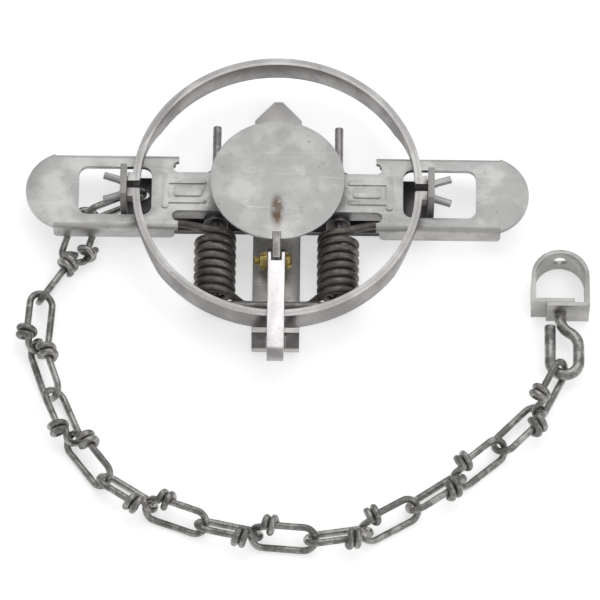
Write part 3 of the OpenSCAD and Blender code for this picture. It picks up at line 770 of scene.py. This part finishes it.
def hook_line():
    """Shank from the head, S-bent neck, round bend and free side."""
    middle, axis_x, face_y = hook_places()
    bend, low = sizes().hook_bend / MM, middle.y + NECK_FROM
    top, side = low + NECK_LONG, middle.x + bend
    sweep = math.degrees(2 * math.atan((side - axis_x) / NECK_LONG))
    radius = NECK_LONG / (2 * math.sin(math.radians(sweep)))
    shares = [k / NECK_STEPS for k in range(NECK_STEPS + 1)]
    line = [(axis_x, face_y + y) for y in SHANK_PAST] + [(axis_x, top + SHANK_ABOVE)]
    line += [polar(axis_x + radius, top, radius, 180 + sweep * t) for t in shares]
    line += [polar(side - radius, low, radius, sweep * (1 - t)) for t in shares[1:]]
    line += [(side, low - SIDE_BELOW)]
    line += [polar(middle.x, middle.y, bend, -180 * k / HOOK_STEPS) for k in range(HOOK_STEPS + 1)]
    line += [(middle.x - bend, middle.y + y) for y in FREE_SIDE]
    return [Vector((x, y, HOOK_Z)) * MM for x, y in line]


# Pieces


class TRAP_OT_frame(Operator):
    """Frame strips, rivets and the pan's bracket, with worn edges; strips and rivets are dark as painted
    shade, with painted light on the cross strip's tops and the posts' ends
    """

    bl_idname = "trap.frame"
    bl_label = "Frame"

    def execute(self, context):
        s = sizes()
        rounded("base_frame_worn", "base_frame", "post_steel", "strip_edge", s.strip_round)
        # Cross strip: dark sides as painted shade, lighter upper faces as painted light
        rounded("cross_strip_worn", "cross_strip", "strip_steel", "strip_edge",
                s.cross_round, "strip_top")
        rounded("frame_rivets_worn", "frame_rivets", "strip_steel", "strip_edge",
                s.strip_round)
        for node in ("pan_bracket", "bracket_rivet"):
            rounded(node + "_worn", node, "rod_steel", "strip_edge", s.bracket_round)
        dress("spring_rod", "rod_steel")
        return {"FINISHED"}


class TRAP_OT_springs(Operator):
    """Two wound coil springs with their arms"""

    bl_idname = "trap.springs"
    bl_label = "Springs"

    def execute(self, context):
        wire = sizes().spring_wire
        for side, node in ((-1, "left_spring"), (1, "right_spring")):
            made = swept_wire(node + "_wire", spring_line(side), wire, "spring_steel", sides=18)
            settle(made, node, "frame")
        return {"FINISHED"}


class TRAP_OT_levers(Operator):
    """Stamped levers with rounded, rubbed edges; their folded sides are a little darker as painted shade"""

    bl_idname = "trap.levers"
    bl_label = "Levers"

    def execute(self, context):
        width = sizes().plate_round
        for node in ("left_lever", "right_lever"):
            rounded(node + "_plate", node, "plate_side", "worn_edge", width, "plate_steel")
        return {"FINISHED"}


class TRAP_OT_jaws(Operator):
    """Half-round jaws, their gripping edges lighter as painted light and their sides darker as painted shade
    """

    bl_idname = "trap.jaws"
    bl_label = "Jaws"

    def execute(self, context):
        width = sizes().plate_round
        for node in ("front_jaw", "rear_jaw"):
            rounded(node + "_band", node, "jaw_steel", "worn_edge", width, "jaw_top")
        return {"FINISHED"}


class TRAP_OT_pan(Operator):
    """Round pan, its shank and the dog"""

    bl_idname = "trap.pan"
    bl_label = "Pan and dog"

    def execute(self, context):
        s = sizes()
        rounded("pan_plate", "pan", "pan_steel", "worn_edge", s.plate_round)
        rounded("pan_shank_worn", "pan_shank", "rod_steel", "worn_edge", s.strip_round)
        rounded("dog_strip", "dog", "bright_steel", "worn_edge", s.strip_round)
        return {"FINISHED"}


class TRAP_OT_bolt(Operator):
    """Brass bolt with a domed head, and its nut"""

    bl_idname = "trap.bolt"
    bl_label = "Bolt and nut"

    def execute(self, context):
        low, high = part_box("pan_bolt")
        place = Matrix.Translation((0, (low.y + high.y) / 2, (low.z + high.z) / 2))
        head, shaft, face = (high.y - low.y) / 2, SHAFT * MM, high.x - BOLT_HEAD * MM
        crest, root = shaft * 0.98, shaft * 0.86
        profile = [(low.x, shaft * 0.7), (low.x + POINT * MM, crest)]
        for k in range(1, THREADS + 1):
            along = low.x + THREAD_PITCH * MM * k
            profile += [(along, crest), (along + THREAD_GROOVE * MM, root)]
        profile += [(low.x + THREAD_END * MM, shaft), (face, shaft)]
        profile += [(face, head * 0.96), (face + HEAD_EDGE * MM, head)]
        profile += dome(face + DOME_FROM * MM, DOME_HIGH * MM, head, power=0.7, first=1)
        bolt = turned("pan_bolt_brass", profile, place, "brass")
        settle(bolt, "pan_bolt", "frame")
        rounded("pan_nut_brass", "pan_nut", "brass", "brass", sizes().nut_round)
        return {"FINISHED"}


class TRAP_OT_chain(Operator):
    """Chain links, each but the first with its wire's end wrapped on its own leg"""

    bl_idname = "trap.chain"
    bl_label = "Chain"

    def execute(self, context):
        wire = sizes().chain_wire
        for i in range(len(HEADING)):
            node = "chain_link_%02d" % (i + 1)
            made = swept_wire(node + "_wire", placed_link(i), wire, "chain_steel", sides=16, closed=i == 0)
            settle(made, node, node)
        return {"FINISHED"}


class TRAP_OT_swivel(Operator):
    """Swivel hook with its head, and the clevis strap"""

    bl_idname = "trap.swivel"
    bl_label = "Swivel"

    def execute(self, context):
        s = sizes()
        _, axis_x, face_y = hook_places()
        wire = swept_wire("hook_wire", hook_line(), s.hook_rod - ROD_SLIM * MM, "chain_steel", sides=24)
        seat = Vector((axis_x, face_y + HEAD_SEAT, HOOK_Z)) * MM
        place = Matrix.Translation(seat) @ Matrix.Rotation(math.pi / 2, 4, "Z")
        wide = (s.hook_rod / MM + HEAD_OVER) / 2
        rim, crown = HEAD_RIM
        outline = [(0, wide * 0.93), (rim, wide)] + dome(crown, HEAD_DEEP - crown, wide, power=0.6, first=0)
        head = turned("hook_head", [(a * MM, r * MM) for a, r in outline], place, "chain_steel")
        settle(joined("swivel_hook_rod", wire, head), "swivel_hook", "swivel_hook")
        rounded("swivel_clevis_strap", "swivel_clevis", "clevis_steel", "worn_edge",
                s.strip_round)
        return {"FINISHED"}


class TRAP_OT_stage(Operator):
    """Floor, lights, world and camera"""

    bl_idname = "trap.stage"
    bl_label = "Stage"

    def execute(self, context):
        self.floor(size=3.0, strength=0.50)
        self.world(strength=0.48)
        self.lights(aim=Vector((0, -0.04, 0.01)))
        self.camera(away=2.6, wide=0.2604, tilt=math.radians(62), roll=math.radians(0.7))
        context.scene.view_settings.view_transform = "Standard"
        return {"FINISHED"}

    def floor(self, size, strength):
        """Pale floor that keeps the shadow and glows a little where it is seen."""
        bm = bmesh.new()
        bmesh.ops.create_grid(bm, x_segments=1, y_segments=1, size=size)
        mesh = bpy.data.meshes.new("floor")
        bm.to_mesh(mesh)
        bm.free()
        made = add_object("floor", mesh)
        s = Shader("floor_white")
        path = s.add("ShaderNodeLightPath").outputs
        mirrored = s.math("MAXIMUM", path["Is Glossy Ray"], path["Is Transmission Ray"])
        seen = s.math("MAXIMUM", path["Is Camera Ray"], mirrored)
        matt = s.add("ShaderNodeBsdfDiffuse")
        matt.inputs["Color"].default_value = rgba(finish().floor)
        glow = s.add("ShaderNodeEmission")
        s.feed(glow.inputs["Strength"], s.math("MULTIPLY", seen, strength))
        both = s.add("ShaderNodeAddShader")
        out = s.add("ShaderNodeOutputMaterial")
        s.tree.links.new(matt.outputs["BSDF"], both.inputs[0])
        s.tree.links.new(glow.outputs["Emission"], both.inputs[1])
        s.tree.links.new(both.outputs["Shader"], out.inputs["Surface"])
        mesh.materials.append(s.material)
        made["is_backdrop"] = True

    def world(self, strength):
        """White behind the floor, dimmer as a light."""
        world = bpy.data.worlds.new("studio")
        bpy.context.scene.world = world
        world.use_nodes = True
        tree = world.node_tree
        path = tree.nodes.new("ShaderNodeLightPath")
        share = tree.nodes.new("ShaderNodeMapRange")
        share.inputs["To Min"].default_value = strength
        share.inputs["To Max"].default_value = 1.0
        tree.links.new(path.outputs["Is Camera Ray"], share.inputs["Value"])
        sky = tree.nodes["Background"]
        sky.inputs["Color"].default_value = (1, 1, 1, 1)
        tree.links.new(share.outputs["Result"], sky.inputs["Strength"])

    def lights(self, aim):
        """Square lamps: name, place, size and power."""
        for name, at, size, power in (
            ("key", (0.15, 0.50, 1.05), 1.3, 4.8),
            ("fill", (0.75, -0.55, 0.75), 0.6, 1.3),
            ("front", (-0.2, -0.95, 0.55), 0.5, 0.3),
        ):
            lamp = bpy.data.lights.new(name, "AREA")
            lamp.size = size
            lamp.energy = power
            made = add_object(name, lamp)
            made.location = at
            made.rotation_euler = (aim - Vector(at)).to_track_quat("-Z", "Y").to_euler()

    def camera(self, away, wide, tilt, roll):
        """The photo's view: this far away, with this width in the picture."""
        lens = bpy.data.cameras.new("photo")
        made = add_object("photo", lens)
        look = Vector((0.0104, -0.0439, 0))
        made.location = look + away * Vector((0, -math.cos(tilt), math.sin(tilt)))
        turn = Matrix.Rotation(math.pi / 2 - tilt, 3, "X") @ Matrix.Rotation(roll, 3, "Z")
        made.rotation_euler = turn.to_euler()
        lens.sensor_fit = "HORIZONTAL"
        lens.sensor_width = 36
        lens.lens = lens.sensor_width * away / wide
        bpy.context.scene.camera = made


class TRAP_PT_sidebar(Panel):
    """Sizes, finishes and pieces of the trap"""

    bl_label = "Trap"
    bl_idname = "TRAP_PT_sidebar"
    bl_space_type = "VIEW_3D"
    bl_region_type = "UI"
    bl_category = "Trap"

    def draw(self, context):
        for group in (context.scene.trap_sizes, context.scene.trap_finish):
            box = self.layout.box()
            for key in group.bl_rna.properties.keys():
                if key not in ("rna_type", "name"):
                    box.prop(group, key)
        for piece in PIECES:
            self.layout.operator(piece.bl_idname)


PIECES = (
    TRAP_OT_frame,
    TRAP_OT_springs,
    TRAP_OT_levers,
    TRAP_OT_jaws,
    TRAP_OT_pan,
    TRAP_OT_bolt,
    TRAP_OT_chain,
    TRAP_OT_swivel,
    TRAP_OT_stage,
)
CLASSES = (TrapSizes, TrapFinish, *PIECES, TRAP_PT_sidebar)


def register():
    for c in CLASSES:
        bpy.utils.register_class(c)
    bpy.types.Scene.trap_sizes = PointerProperty(type=TrapSizes)
    bpy.types.Scene.trap_finish = PointerProperty(type=TrapFinish)


def unregister():
    del bpy.types.Scene.trap_finish
    del bpy.types.Scene.trap_sizes
    for c in reversed(CLASSES):
        bpy.utils.unregister_class(c)


def main():
    register()
    bpy.ops.trap.frame()
    bpy.ops.trap.springs()
    bpy.ops.trap.levers()
    bpy.ops.trap.jaws()
    bpy.ops.trap.pan()
    bpy.ops.trap.bolt()
    bpy.ops.trap.chain()
    bpy.ops.trap.swivel()
    bpy.ops.trap.stage()
    plain = lambda corners: [list(c) for c in corners]
    {"cad": plain(CAD_BOX), "visual": plain(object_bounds())}


if __name__ == "__main__":
    main()
